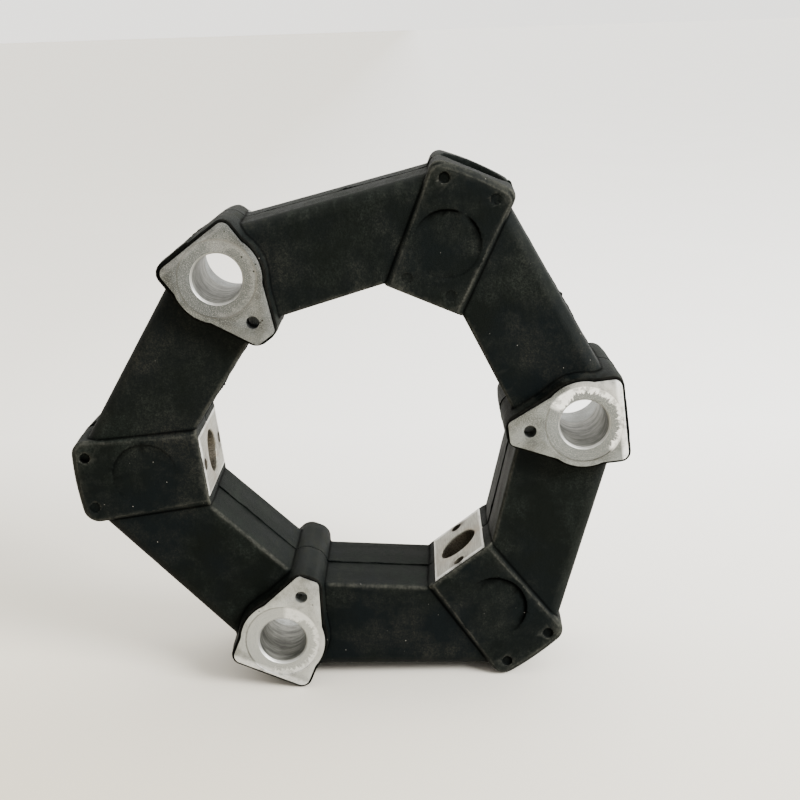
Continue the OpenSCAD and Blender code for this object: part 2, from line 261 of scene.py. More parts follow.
for node, turn_deg, seed, wear_turn, worn, tones in AXIAL_INSERTS:
    a = STAND_TURN + math.radians(turn_deg)
    insert = dressed_copy(node, 0.3 * MM, bore=Vector((math.cos(a), 0, math.sin(a))) * PITCH_R * MM)
    insert.data.materials.append(axial_metal("cast_aluminium_" + node.removeprefix("axial_insert_"),
                                             turn_deg, seed, wear_turn, worn, tones))


# ---------------------------------------------------------------------------------------------
# Radial inserts: three aluminium blocks with their bore along the ring's radius. Only the inner
# face is bare: milled satin, with a bolt bore between two blind pin holes.
RADIAL_INSERTS = (("radial_insert_top", 60, 5), ("radial_insert_left", 180, 12),
                  ("radial_insert_lower_right", 300, 19))
RADIAL_BORE_R = 8.25
PIN_OFF = 16.6


def radial_metal(name, turn_deg, seed):
    """Milled aluminium gone satin: warm grey, faint tool lines, brown dirt near the holes."""
    mat, t = new_material(name)
    here = own_places(t, turn_deg, 0)
    out, along, across = add(t, "SeparateXYZ", (here,)).node.outputs
    # Grain of 0.5 mm, tool lines drawn 0.4 mm apart so that they show, and clouds of 6 mm.
    grain = add(t, "TexNoise", {"Vector": here, "Scale": 2.0, "Detail": 4.0, "Roughness": 0.7})
    drawn = add(t, "Mapping", {"Vector": here, "Location": (seed, 0, seed), "Scale": (1.0, 0.12, 2.0)})
    milled = add(t, "TexNoise", {"Vector": drawn, "Scale": 1.2, "Detail": 3.0, "Roughness": 0.6})
    milled = add(t, "MapRange", (milled, 0.3, 0.7))
    shifted = add(t, "Mapping", {"Vector": here, "Location": (0, seed * 3, seed)})
    cloud = add(t, "TexNoise", {"Vector": shifted, "Scale": 0.16, "Detail": 4.0, "Roughness": 0.6})

    # The rim of the face is rubbed bright; brown dirt lies round the bore.
    off_along = add(t, "Math", (along,), operation="ABSOLUTE")
    off_across = add(t, "Math", (across,), operation="ABSOLUTE")
    rim = add(t, "Math", (add(t, "MapRange", (off_along, 17.8, 19.6)),
                          add(t, "MapRange", (off_across, 10.6, 11.8))), operation="MAXIMUM")
    rim = add(t, "Math", (rim, add(t, "MapRange", (cloud, 0.3, 0.6, 0.3, 0.9))), operation="MULTIPLY")
    radius = add(t, "VectorMath", (add(t, "CombineXYZ", (along, across)),), out="Value",
                 operation="LENGTH")
    dirt = add(t, "Math", (add(t, "MapRange", (radius, 17.0, 9.0)),
                           add(t, "MapRange", (cloud, 0.45, 0.62, 0.0, 0.75))), operation="MULTIPLY")
    # The blind pin holes are painted dark brown, partly for dirt in them and partly as painted shade
    # inside them; some of the dirt is smeared over their edges.
    pin = add(t, "CombineXYZ", (add(t, "Math", (off_along, PIN_OFF), operation="SUBTRACT"), across))
    pin = add(t, "VectorMath", (pin,), out="Value", operation="LENGTH")
    smear = add(t, "Math", (add(t, "MapRange", (pin, 5.6, 2.4)),
                            add(t, "MapRange", (cloud, 0.42, 0.55, 0.0, 0.9))), operation="MULTIPLY")
    filled = add(t, "Math", (add(t, "MapRange", (pin, 2.5, 2.1)), smear), operation="MAXIMUM")
    # Inside the bore the metal has gone brown.
    in_bore = add(t, "Math", (add(t, "MapRange", (radius, RADIAL_BORE_R + 0.5, RADIAL_BORE_R + 0.1)),
                              add(t, "MapRange", (out, 60.6, 61.4))), operation="MULTIPLY")
    wall = add(t, "Mix", {0: milled, 6: "#4a443a", 7: "#7d776b"}, out=2, data_type="RGBA")

    base = add(t, "Mix", {0: milled, 6: "#615f57", 7: "#89887f"}, out=2, data_type="RGBA")
    for share, colour in ((rim, "#dcdcd8"), (dirt, "#6b6152"), (filled, "#2c2418"), (in_bore, wall)):
        base = add(t, "Mix", {0: share, 6: base, 7: colour}, out=2, data_type="RGBA")
    rough = add(t, "Math", (add(t, "MapRange", (grain, 0.3, 0.7, 0.38, 0.55)),
                            add(t, "MapRange", (pin, 2.5, 2.1, 0.0, 0.3))), operation="ADD")
    bump = add(t, "Bump", {"Height": grain, "Strength": 0.4, "Distance": 0.1 * MM})
    metal = add(t, "BsdfPrincipled", {"Base Color": base, "Roughness": rough, "Normal": bump,
                                      "Metallic": 1.0})
    add(t, "OutputMaterial", {"Surface": metal})
    return mat


for node, turn_deg, seed in RADIAL_INSERTS:
    insert = dressed_copy(node, 0.3 * MM)
    insert.data.materials.append(
        radial_metal("milled_aluminium_" + node.removeprefix("radial_insert_"), turn_deg, seed))


# ---------------------------------------------------------------------------------------------
# Rubber body: one moulding of natural rubber, vulcanised round the six inserts in a two-part
# mould that parts half way through the depth. Its shape is worked out as a distance field with
# rounded edges and fillets, and a skin is then drawn on the field's zero.

# Half depths, all in mm: of a leg, of the rim round an axial insert, of a block between its two
# faces, of the flat band along the parting line, and where a leg's and block's flanks bend.
LEG_HALF = 20.3
RIM = 27.5
FACE = 21.4
BAND = 8.0
LEG_BEND, BLOCK_BEND = 14.8, 19.6
# An axial insert's outline, from its bore's middle: flank, outer side, round wall and nose.
FLANK, TOP, WALL_R, NOSE = 15.4, 14.9, 16.2, -27.7
# A leg's rim and hub sides, from the line between two bores, with their slopes in and along.
LEG_OUTER, LEG_OUTER_SLOPE = 13.9, (0.9231, 0.3845)
LEG_INNER, LEG_INNER_SLOPE = -25.2, (-0.9395, -0.3426)
# Blocks: radius of the bare inner end, length, and the marks in each face, with their places
# out from the hub and along the ring.
BLOCK_INNER_R = 60.3
BLOCK_LENGTH = 49.2
DISC_R = 12.3
DIMPLE_R = 1.9
OUTER_DIMPLE, INNER_DIMPLE = (103.8, 9.9), (65.7, 8.6)
POCKET_GAP = -0.8
# Half widths of a block at its inner and outer ends, outer end radius and corner, by depth.
BLOCK_DEPTHS = (BAND, BLOCK_BEND, LEG_HALF, FACE)
BLOCK_INNER_W = (15.4, 15.2, 15.2, 13.1)
BLOCK_OUTER_W = (16.6, 16.4, 16.4, 15.6)
BLOCK_END_R = (109.8, 109.5, 109.05, 107.7)
BLOCK_CORNER_R = (5.0, 5.0, 5.0, 3.2)
# The moulding isn't quite regular. By axial insert: how far the hub side of its legs stands
# proud at the rear, and the corners of its boss at the rear, on each side of it. By radial
# insert: how far its block is shifted along the ring, and its end outwards.
LEG_REAR = np.array((0.0, 0.0, 0.8))
REAR_CORNER = np.array(((7.0, 4.5), (7.6, 8.0), (8.5, 8.5)))
BLOCK_SHIFT = np.array((-0.7, 0.0, 0.0))
BLOCK_END = np.array((0.25, 0.0, 0.0))
# Depth of the parting groove round the ring, by angle, on the hub side and on the rim side.
GROOVE_TURN = (0, 30, 48, 60, 72, 90, 120, 150, 180, 190, 203, 207, 222, 236, 243, 262, 280, 297,
               312, 340, 360)
GROOVE_INSIDE = (.15, .2, .2, .3, .2, .2, .2, .2, .3, .4, .3, .05, .08, .22, .3, .12, .18, .25,
                 .5, .35, .15)
GROOVE_OUTSIDE = (.4, .2, .2, .2, .8, .6, .4, .2, .3, .3, .2, .2, .2, .2, .3, .2, .2, .2,
                  .3, .3, .4)


def ring_places(x, y, z):
    """World millimetres to the ring's own places: outwards, sideways and number of the nearest
    axial insert, the same for the nearest radial one, then radius, depth towards the front and
    angle round the ring."""
    cos_t, sin_t = math.cos(STAND_TURN), math.sin(STAND_TURN)
    u, v, w = x * cos_t + z * sin_t, z * cos_t - x * sin_t, -y
    r, angle = np.hypot(u, v), np.arctan2(v, u)
    third = 2 * math.pi / 3
    axial, radial = np.round(angle / third), np.round(angle / third - 0.5)
    fold, rest = angle - axial * third, angle - (radial + 0.5) * third
    return (r * np.cos(fold) - PITCH_R, r * np.sin(fold), axial.astype(int) % 3,
            r * np.cos(rest), r * np.sin(rest), radial.astype(int) % 3, r, w, angle)


def rounded(a, b, r):
    """The edge where two faces meet, rounded to radius r."""
    a, b = a + r, b + r
    return np.hypot(np.maximum(a, 0), np.maximum(b, 0)) + np.minimum(np.maximum(a, b), 0) - r


def filleted(a, b, k):
    """Two forms joined, with a fillet about k wide."""
    h = np.maximum(k - np.abs(a - b), 0) / k
    return np.minimum(a, b) - h * h * k / 4


def axial_outline(p, q, corner):
    """Distance to the outline of an axial insert: parallel flanks, round wall, taper, nose."""
    flank = np.maximum(rounded(q - FLANK, p - TOP, corner), -1 - p)
    wall = np.maximum(np.hypot(p, q) - WALL_R, p - TOP)
    taper = np.maximum(rounded(NOSE - p, 0.907 * (q - 11.8) - 0.4212 * (p + 11.1), 2.0), p + 6.5)
    return filleted(filleted(flank, wall, 0.4), taper, 1.5)


def body_parts(x, y, z):
    """Distances in millimetres to the legs, the bosses and the blocks."""
    p, side_q, axial, c, side_d, radial, r, w, _ = ring_places(x, y, z)
    q, d, depth, front = np.abs(side_q), np.abs(side_d), np.abs(w), w > 0

    # Legs: straight bars with a flat band half way; the front half is a little smaller.
    before = (side_q < 0).astype(int)
    behind = np.clip(-w / LEG_HALF, 0, 1)
    swell = 0.3 * np.clip((LEG_BEND - depth) / (LEG_BEND - BAND), 0, 1)
    outer = LEG_OUTER_SLOPE[0] * (p - LEG_OUTER) + LEG_OUTER_SLOPE[1] * (q - 6) - swell
    inner = LEG_INNER_SLOPE[0] * (p - LEG_INNER) + LEG_INNER_SLOPE[1] * (q - 6) - swell
    inner = inner - LEG_REAR[axial] * behind + np.where(front, 0.3, 0.0)
    leg = np.maximum(rounded(depth - LEG_HALF, outer, 5.0), rounded(depth - LEG_HALF, inner, 1.2))
    leg = np.maximum(np.maximum(leg, 6 - q), 11 - d)

    # Bosses round the axial inserts, thinner in places behind, with a fillet at their foot.
    corner = np.interp(w, (0, LEG_HALF), (4.5, 3.0)) + behind * (REAR_CORNER[axial, 1 - before] - 4.5)
    thin = np.where(axial == 0, np.interp(side_q, (0, 15), (0, 0.5)),
                    np.where(axial == 1, np.interp(side_q, (-15, 10), (0.2, 0.55))
                             + np.where(side_q < -10, np.interp(p, (8, 14), (2.0, 0)), 0), 0))
    lip = np.where((axial == 1) & (side_q > 0) & (p > 2), 0.6, 0.0) * np.clip(w / RIM, 0, 1)
    cover = np.interp(depth, (0, LEG_HALF, RIM), (1.4, 1.4, 1.0)) - behind * thin + lip
    boss = rounded(axial_outline(p, q, corner) - cover, depth - RIM, 0.5)

    # Blocks round the radial inserts: splayed flanks, an outer end on an arc, crisp bevels.
    inner_w, outer_w, end_r, end_corner = (
        np.interp(depth, BLOCK_DEPTHS, row)
        for row in (BLOCK_INNER_W, BLOCK_OUTER_W, BLOCK_END_R, BLOCK_CORNER_R))
    end_corner = np.where((radial == 0) & (depth < LEG_HALF), end_corner - 1.5, end_corner)
    slid = np.clip((FACE - depth) * np.where(front, 0.125, 2), 0, 1)
    off = np.abs(side_d - BLOCK_SHIFT[radial] * slid)
    flank = 0.9986 * (off - inner_w - (outer_w - inner_w) * (c - BLOCK_INNER_R) / BLOCK_LENGTH)
    sides = rounded(flank, r - end_r - BLOCK_END[radial], end_corner)
    sides = np.maximum(sides, BLOCK_INNER_R - c)
    block = rounded(sides, depth - FACE, 0.45)
    return leg, boss, block


def body_field(x, y, z):
    """Distance in millimetres to the moulding's outside, before its marks and pockets."""
    leg, boss, block = body_parts(x, y, z)
    _, _, _, _, _, _, r, w, angle = ring_places(x, y, z)
    body = filleted(filleted(leg, boss, 1.4), block, 0.5)
    # Fine groove where the mould's halves met, deeper in some places than in others.
    turn = np.degrees(angle) % 360
    groove = np.where(r < PITCH_R, np.interp(turn, GROOVE_TURN, GROOVE_INSIDE),
                      np.interp(turn, GROOVE_TURN, GROOVE_OUTSIDE))
    return body + groove * np.exp(-(w / 0.42) ** 2)


def block_marks(x, y, z):
    """The cuts of the marks in the blocks' faces, and the painted shade in their hollows."""
    _, _, _, c, side_d, radial, _, w, _ = ring_places(x, y, z)
    d, depth = np.abs(side_d), np.abs(w)

    # A round recess, deeper at one side and partly filled.
    lean = (np.array((0.034, 0.008, 0.0))[radial] * (c - PITCH_R)
            + np.array((0.0, -0.014, 0.055))[radial] * side_d)
    filled = np.where(radial == 0, np.exp(-((side_d + 1.5) / 2.4) ** 2) * np.clip((c - 87) / 5, 0, 1), 0.0)
    sunk = np.maximum(0.18 + lean, np.array((0.2, 0.04, 0.08))[radial]) * (1 - 0.9 * filled)
    disc_r = np.hypot(c - PITCH_R, d)
    disc = np.maximum(rounded(disc_r - DISC_R, FACE - sunk - depth, 0.2), FACE - 1.0 - depth)
    # Painted shade along the recess's wall, wider where the recess is deeper.
    width = 0.45 + 1.1 * np.clip(sunk - 0.2, 0, 1)
    shade = np.clip((sunk - 0.05) / 0.45, 0, 1) * np.exp(-((12.2 - disc_r) / width) ** 2) * (disc_r < 12.5)

    # Four dimples. The inner ones have filled with rubber on two of the blocks.
    first = side_d < 0
    deep = np.where(first, np.array((0.3, 0.8, 0.7))[radial], np.array((0.65, 0.35, 0.7))[radial])
    outer_r = np.hypot(c - OUTER_DIMPLE[0], d - OUTER_DIMPLE[1])
    outer_dimple = np.maximum(rounded(outer_r - DIMPLE_R, FACE - deep - depth, 0.2), FACE - 1.5 - depth)
    inner_deep = np.array((0.25, 0.02, 0.02))[radial]
    inner_r = np.hypot(c - INNER_DIMPLE[0], d - INNER_DIMPLE[1])
    inner_dimple = np.maximum(inner_r - DIMPLE_R, FACE - inner_deep - depth)
    for spot_r, spot_deep, (spot_c, spot_d) in ((outer_r, deep, OUTER_DIMPLE),
                                                (inner_r, inner_deep, INNER_DIMPLE)):
        # Fuller shade towards the light's side of each dimple.
        toward = np.where(first, 1, -1) * (spot_d - d) * 0.3 + (c - spot_c) * 0.15
        rim = np.exp(-((1.75 - spot_r) / 0.45) ** 2) * np.clip(0.6 + toward, 0.15, 1)
        full = np.clip((spot_deep - 0.45) / 0.35, 0, 1) * np.clip(0.75 + toward, 0, 1)
        full = full * (spot_r < DIMPLE_R)
        shade = np.maximum(shade, np.clip(spot_deep / 0.5, 0, 1) * np.maximum(rim * (spot_r < 2.1), full))
    return np.minimum(disc, np.minimum(outer_dimple, inner_dimple)), shade * (depth > FACE - 1.2)


def marked_field(x, y, z):
    """The moulding with the marks in its blocks, still without the pockets for the inserts."""
    return np.maximum(body_field(x, y, z), -block_marks(x, y, z)[0])


def rubber_field(x, y, z):
    """Distance in millimetres to the rubber's skin, negative inside."""
    p, side_q, _, c, side_d, _, _, w, _ = ring_places(x, y, z)
    q, d, depth, front = np.abs(side_q), np.abs(side_d), np.abs(w), w > 0
    # A round opening in the rim leads to the bore of each radial insert.
    seat = np.maximum(np.hypot(d, w) - 13, 104.5 - c)
    # The pockets reach a little into the inserts, so that no light passes between the two.
    axial_pocket = axial_outline(p, q, np.where(front, 3.0, 9.0)) - POCKET_GAP
    box = np.maximum(np.maximum(0.9993 * (d - 12.3 - 0.0378 * (c - 60)), c - 105), depth - 20.4)
    cuts = np.minimum(seat, np.minimum(axial_pocket, box - POCKET_GAP))
    return np.maximum(marked_field(x, y, z), -cuts)


def wander(x, y, z):
    """Slow unevenness of a rubber moulding, within plus and minus 1."""
    rng = np.random.default_rng(7)
    total = np.zeros(np.broadcast(x, y, z).shape)
    for wave in (34, 21, 13, 9):
        for _ in range(3):
            k = rng.normal(size=3)
            k *= 2 * math.pi / wave / np.linalg.norm(k)
            total = total + np.sin(k[0] * x + k[1] * y + k[2] * z + rng.uniform(0, 6.28)) / 12
    return total


step = 0.55
xs = -112.5 + step * np.arange(4 * math.ceil(215 / step / 4))
zs = -98.5 + step * np.arange(4 * math.ceil(207 / step / 4))
# Through the depth the grid is finer at the parting line.
ys = 1.2 + step * np.arange(1, 4 * math.ceil(27.5 / step / 4) - 1)
ys = np.concatenate((-ys[::-1], np.linspace(-1.2, 1.2, 8), ys))
ys = ys[:len(ys) // 4 * 4]
# Only blocks of 4 x 4 x 4 places that the skin may pass through are worked out, in portions.
shape = [len(axis) // 4 for axis in (xs, ys, zs)]
middle = [axis.reshape(-1, 4).mean(axis=1) for axis in (xs, ys, zs)]
rough_field = rubber_field(middle[0][:, None, None], middle[1][None, :, None], middle[2][None, None, :])
field = np.empty((shape[0], 4, shape[1], 4, shape[2], 4), np.float32)
field[:] = np.where(rough_field > 0, 3.0, -3.0)[:, None, :, None, :, None]
blocks = np.argwhere(np.abs(rough_field) < 2.3 * step * 2)
four = np.arange(4)
for start in range(0, len(blocks), 4000):
    bx, by, bz = blocks[start:start + 4000].T
    values = rubber_field(xs[bx[:, None] * 4 + four][:, :, None, None],
                          ys[by[:, None] * 4 + four][:, None, :, None],
                          zs[bz[:, None] * 4 + four][:, None, None, :])
    field[bx, :, by, :, bz, :] = np.clip(values / step, -3, 3)
field = field.reshape(len(xs), len(ys), len(zs))
grid = openvdb.FloatGrid(background=3.0)
grid.copyFromArray(field)
points, tris, quads = grid.convertToPolygons(isovalue=0.0, adaptivity=0.0)
print("rubber skin:", len(points), "points", len(tris), "triangles", len(quads), "quads")
place = np.stack((np.interp(points[:, 0], np.arange(len(xs)), xs),
                  np.interp(points[:, 1], np.arange(len(ys)), ys),
                  np.interp(points[:, 2], np.arange(len(zs)), zs)), axis=1).astype(float)
# Each point is led onto the field's zero, then out or in with the slow unevenness.
slope = np.stack([(rubber_field(*(place + off).T) - rubber_field(*(place - off).T)) / 0.1
                  for off in np.eye(3) * 0.05], axis=1)
size = np.maximum((slope ** 2).sum(axis=1), 0.3)
for _ in range(3):
    place -= slope * np.clip(rubber_field(*place.T) / size, -0.3, 0.3)[:, None]
slope /= np.maximum(np.linalg.norm(slope, axis=1), 1e-6)[:, None]
place += slope * (0.08 * wander(*place.T))[:, None]
place = np.clip(place, np.array(cad_low) / MM, np.array(cad_high) / MM)

rubber_mesh = bpy.data.meshes.new("rubber_moulding")
faces = [tuple(f) for f in quads[:, ::-1]] + [tuple(f) for f in tris[:, ::-1]]
rubber_mesh.from_pydata(place * MM, [], faces)
rubber = bpy.data.objects.new("rubber_moulding", rubber_mesh)
bpy.context.scene.collection.objects.link(rubber)
thin = rubber.modifiers.new("thin", "DECIMATE")
thin.ratio = min(1.0, 190000 / (2 * len(quads) + len(tris)))
rubber_mesh = bpy.data.meshes.new_from_object(
    rubber.evaluated_get(bpy.context.evaluated_depsgraph_get()))
rubber.modifiers.clear()
rubber.data = rubber_mesh
for poly in rubber_mesh.polygons:
    poly.use_smooth = True

# How far each point stands out or in, from the outside around it: edges get wear and a painted highlight,
# hollows get dirt and painted shade.
place = np.empty(len(rubber_mesh.vertices) * 3, np.float32)
rubber_mesh.vertices.foreach_get("co", place)
place = place.reshape(-1, 3).astype(float) / MM
here = marked_field(*place.T)
_, _, _, c, side_d, _, _, w, _ = ring_places(*place.T)
# The rims of the round recesses and the inner dimples are sheltered, so they get little wear and little
# painted highlight.
sheltered = np.where(np.hypot(c - PITCH_R, side_d) < DISC_R + 1.7, 0.15, 1.0)
dimple_r = np.hypot(c - INNER_DIMPLE[0], np.abs(side_d) - INNER_DIMPLE[1])
sheltered = np.where(dimple_r < DIMPLE_R + 1.0, 0.55, sheltered)
sheltered = np.where(np.abs(w) > FACE - 1.6, sheltered, 1.0)
for label, reach, full in (("edge_wear_and_highlight", 1.4, 0.35), ("edge_fine", 0.55, 0.12)):
    around = sum(marked_field(*(place + off * s).T) for off in np.eye(3) * reach for s in (-1, 1)) / 6
    worn = rubber_mesh.attributes.new(label, "FLOAT", "POINT")
    value = np.clip((around - here) / full, -1, 1)
    value = np.where(value > 0, value * sheltered, value)
    worn.data.foreach_set("value", value.astype(np.float32))

# Painted shade in the creases where a leg meets a block or a boss.
leg, boss, block = body_parts(*place.T)
crease_shade = np.maximum(np.exp(-((leg - block) / 0.45) ** 2) * (np.abs(leg) < 0.6),
                    np.exp(-((leg - boss) / 0.7) ** 2) * (np.abs(leg) < 1.0))
crease_shade = np.maximum(crease_shade, block_marks(*place.T)[1] * 1.15)
# Painted shade: the lip round each axial insert, where the rubber meets the metal, is kept black.
crease_shade = np.maximum(crease_shade, np.clip((np.abs(place[:, 1]) - 25.8) / 1.2, 0, 1))
# This layer holds the painted shade of creases, recesses, dimples and lips.
worn = rubber_mesh.attributes.new("crease_shade", "FLOAT", "POINT")
worn.data.foreach_set("value", crease_shade.astype(np.float32))

# Black natural rubber, moulded: satin black skin with a dry warm-grey bloom, rubbed edges with a painted
# highlight, and painted shade in the hollows.
# Skin grain of 1 mm and grit of 0.4 mm; smears of 3 mm, blooms of 18 mm and hazes of 45 mm.
rubber_material, t = new_material("moulded_natural_rubber")
mm_places = add(t, "Mapping", {"Vector": add(t, "TexCoord", out="Object"), "Scale": (1 / MM,) * 3})
x_mm, _, z_mm = add(t, "SeparateXYZ", (mm_places,)).node.outputs
skin = add(t, "TexNoise", {"Vector": mm_places, "Scale": 1.1, "Detail": 6.0, "Roughness": 0.75})
grit = add(t, "TexNoise", {"Vector": mm_places, "Scale": 2.4, "Detail": 3.0, "Roughness": 0.7})
bloom = add(t, "TexNoise", {"Vector": mm_places, "Scale": 0.055, "Detail": 6.0, "Roughness": 0.68})
shifted = add(t, "Mapping", {"Vector": mm_places, "Location": (40, 7, 90)})
haze = add(t, "TexNoise", {"Vector": shifted, "Scale": 0.022, "Detail": 5.0, "Roughness": 0.6})
drawn = add(t, "Mapping", {"Vector": mm_places, "Rotation": (0.3, 0.5, 0.2), "Scale": (1.0, 0.4, 0.3)})
smear = add(t, "TexNoise", {"Vector": drawn, "Scale": 0.3, "Detail": 5.0, "Roughness": 0.6})
wear_and_highlight = add(t, "Attribute", out="Fac", attribute_name="edge_wear_and_highlight")
fine = add(t, "Attribute", out="Fac", attribute_name="edge_fine")
shade_in_creases = add(t, "Attribute", out="Fac", attribute_name="crease_shade")
normal_z = add(t, "SeparateXYZ", (add(t, "NewGeometry", out="Normal"),), out="Z")

# The rubber itself is blue black; a warm grey bloom lies in clouds, most on upper sides.
deep = add(t, "Mix", {0: add(t, "MapRange", (haze, 0.42, 0.6)), 6: "#070a08", 7: "#070b0c"}, out=2,
           data_type="RGBA")
dust = add(t, "Mix", {0: add(t, "MapRange", (haze, 0.4, 0.6)), 6: "#1c201d", 7: "#22221e"}, out=2,
           data_type="RGBA")
settled = add(t, "Math", (add(t, "MapRange", (normal_z, 0.2, 0.8)),
                          add(t, "MapRange", (smear, 0.5, 0.66, 0.0, 0.4))), operation="MULTIPLY")
dusty_side = add(t, "Math", (add(t, "MapRange", (x_mm, 30, -50, 0.0, 0.16)),
                             add(t, "MapRange", (z_mm, -15, 25))), operation="MULTIPLY")
dusty = add(t, "MapRange", (bloom, 0.45, 0.75, 0.0, 0.68))
for more in (settled, dusty_side):
    dusty = add(t, "Math", (dusty, more), operation="ADD")
for factor in (add(t, "MapRange", (skin, 0.4, 0.6, 0.3, 1.4)),
               add(t, "MapRange", (grit, 0.42, 0.6, 0.35, 1.8)),
               add(t, "MapRange", (smear, 0.3, 0.62, 0.5, 1.2))):
    dusty = add(t, "Math", (dusty, factor), operation="MULTIPLY")
dusty = add(t, "Clamp", (dusty,))
# Edges are rubbed grey, partly as a painted highlight, and dirt and painted shade keep the hollows black.
rubbed_and_highlit = add(t, "Math", (add(t, "MapRange", (wear_and_highlight, 0.12, 0.7, 0.0, 0.34)),
                         add(t, "MapRange", (fine, 0.2, 0.7, 0.0, 0.5))), operation="ADD")
for factor in (add(t, "MapRange", (skin, 0.38, 0.6, 0.4, 1.25)),
               add(t, "MapRange", (smear, 0.35, 0.6, 0.35, 1.1))):
    rubbed_and_highlit = add(t, "Math", (rubbed_and_highlit, factor), operation="MULTIPLY")
rubbed_and_highlit = add(t, "Clamp", (rubbed_and_highlit,))
# Painted shade, with some dirt, makes creases and hollows near black.
dirt_and_painted_shade = add(t, "Math", (shade_in_creases, 0.85), operation="MULTIPLY")
for other in (add(t, "MapRange", (wear_and_highlight, -0.1, -0.8, 0.0, 0.5)),
              add(t, "MapRange", (fine, -0.2, -0.9, 0.0, 0.6))):
    dirt_and_painted_shade = add(t, "Math", (dirt_and_painted_shade, other), operation="MAXIMUM")
# White specks of dust, 0.3 to 0.5 mm wide, in loose groups.
specks = add(t, "TexVoronoi", {"Vector": mm_places, "Scale": 0.27}, out="Distance", feature="F1")
specks = add(t, "Math", (add(t, "MapRange", (specks, 0.03, 0.055, 0.75, 0.0)),
                         add(t, "MapRange", (haze, 0.5, 0.56))), operation="MULTIPLY")

base = deep
for share, colour in ((dusty, dust), (rubbed_and_highlit, "#3a3a35"), (dirt_and_painted_shade, "#010101"), (specks, "#8d8b84")):
    base = add(t, "Mix", {0: share, 6: base, 7: colour}, out=2, data_type="RGBA")
rough = add(t, "MapRange", (dusty, 0.0, 1.0, 0.6, 0.95))
# The painted shade in the hollows also takes away their gloss.
gloss = add(t, "MapRange", (dirt_and_painted_shade, 0.0, 1.0, 0.036, 0.0))
height = add(t, "Math", (smear, 1.5, skin), operation="MULTIPLY_ADD")
bump = add(t, "Bump", {"Height": height, "Strength": 0.7, "Distance": 0.2 * MM})
satin = add(t, "BsdfPrincipled", {"Base Color": base, "Roughness": rough, "Normal": bump,
                                  "Specular IOR Level": gloss})
add(t, "OutputMaterial", {"Surface": satin})
rubber_mesh.materials.clear()
rubber_mesh.materials.append(rubber_material)
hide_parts("rubber_body")
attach(rubber, "root")


# ---------------------------------------------------------------------------------------------
# Flash: the thin fin of rubber that was pressed out between the mould's halves and torn off by
# hand, so that a low ragged edge of it is left round the outside and inside of the ring.
FIN_STEPS = 1440
# Longer shreds that were left standing: place round the ring, half width, both in degrees, and
# height in mm.
SHREDS = ((52.6, 0.5, 1.6), (51.0, 0.35, 1.2), (170.6, 0.7, 2.2), (28.0, 0.6, 1.0))


def ring_to_world(r, angle):
    """Points of the parting plane, in millimetres, by radius and angle on the ring."""
    a = angle + STAND_TURN
    return np.stack((r * np.cos(a), np.zeros_like(r), r * np.sin(a)), axis=-1)


angle = np.linspace(0, 2 * math.pi, FIN_STEPS + 1)[:-1]
fin_points, fin_edges, fin_ways, fin_heights = [], [], [], []
rng = np.random.default_rng(5)
for sign, reach in ((1, np.arange(90, 113, 0.05)), (-1, np.arange(75, 50, -0.05))):
    # The skin's edge lies where a walk along the radius is inside the rubber for the last time.
    walk = np.broadcast_to(reach[:, None], (len(reach), len(angle)))
    spots = ring_to_world(walk, np.broadcast_to(angle, walk.shape))
    inside = body_field(spots[..., 0], spots[..., 1] + 1.2, spots[..., 2]) < 0
    edge = reach[len(reach) - 1 - np.argmax(inside[::-1], axis=0)]
    spots = ring_to_world(edge, angle)
    along = np.roll(spots, -1, axis=0) - np.roll(spots, 1, axis=0)
    way = np.stack((along[:, 2], 0 * along[:, 0], -along[:, 0]), axis=1) * sign
    way /= np.maximum(np.linalg.norm(way, axis=1), 1e-6)[:, None]
    # Torn more or less from place to place, and cut clean off for long stretches.
    tear = sum(np.sin(k * angle + rng.uniform(0, 6.28)) / 3 for k in (7, 19, 41))
    ragged = np.clip(tear, 0, 1) * rng.uniform(0.3, 1.0, len(angle))
    for spot, wide, tall in SHREDS if sign > 0 else ():
        shred = np.exp(-((np.degrees(angle) - spot) / wide) ** 2)
        ragged += tall * shred * rng.uniform(0.6, 1, len(angle))
    # Nothing of it reaches past the part's own corners, where it would be worn off first.
    room = np.minimum(np.array(cad_high) / MM - spots, spots - np.array(cad_low) / MM)[:, ::2].min(axis=1)
    ragged *= np.clip(room / 1.5, 0, 1)
    # None is left where a radial insert opens through the rubber.
    side = edge * np.sin(np.abs((angle + 1e-9) % (2 * math.pi / 3) - math.pi / 3))
    bare = side < (13.2 if sign > 0 else 13.0)
    start = len(fin_points)
    for i in range(len(angle)):
        fin_points.append(spots[i] - way[i] * (0.35 if room[i] > 0.4 else 0.9))
        fin_ways.append(way[i])
        fin_heights.append(ragged[i])
        j = (i + 1) % len(angle)
        if not (bare[i] or bare[j]) and np.linalg.norm(spots[i] - spots[j]) < 2.5:
            fin_edges.append((start + i, start + j))

fin_mesh = bpy.data.meshes.new("parting_flash")
fin_mesh.from_pydata(np.array(fin_points) * MM, fin_edges, [])
fin_mesh.attributes.new("way_out", "FLOAT_VECTOR", "POINT").data.foreach_set(
    "vector", np.array(fin_ways, np.float32).ravel())
fin_mesh.attributes.new("torn", "FLOAT", "POINT").data.foreach_set(
    "value", np.array(fin_heights, np.float32))
flash = bpy.data.objects.new("parting_flash", fin_mesh)
bpy.context.scene.collection.objects.link(flash)

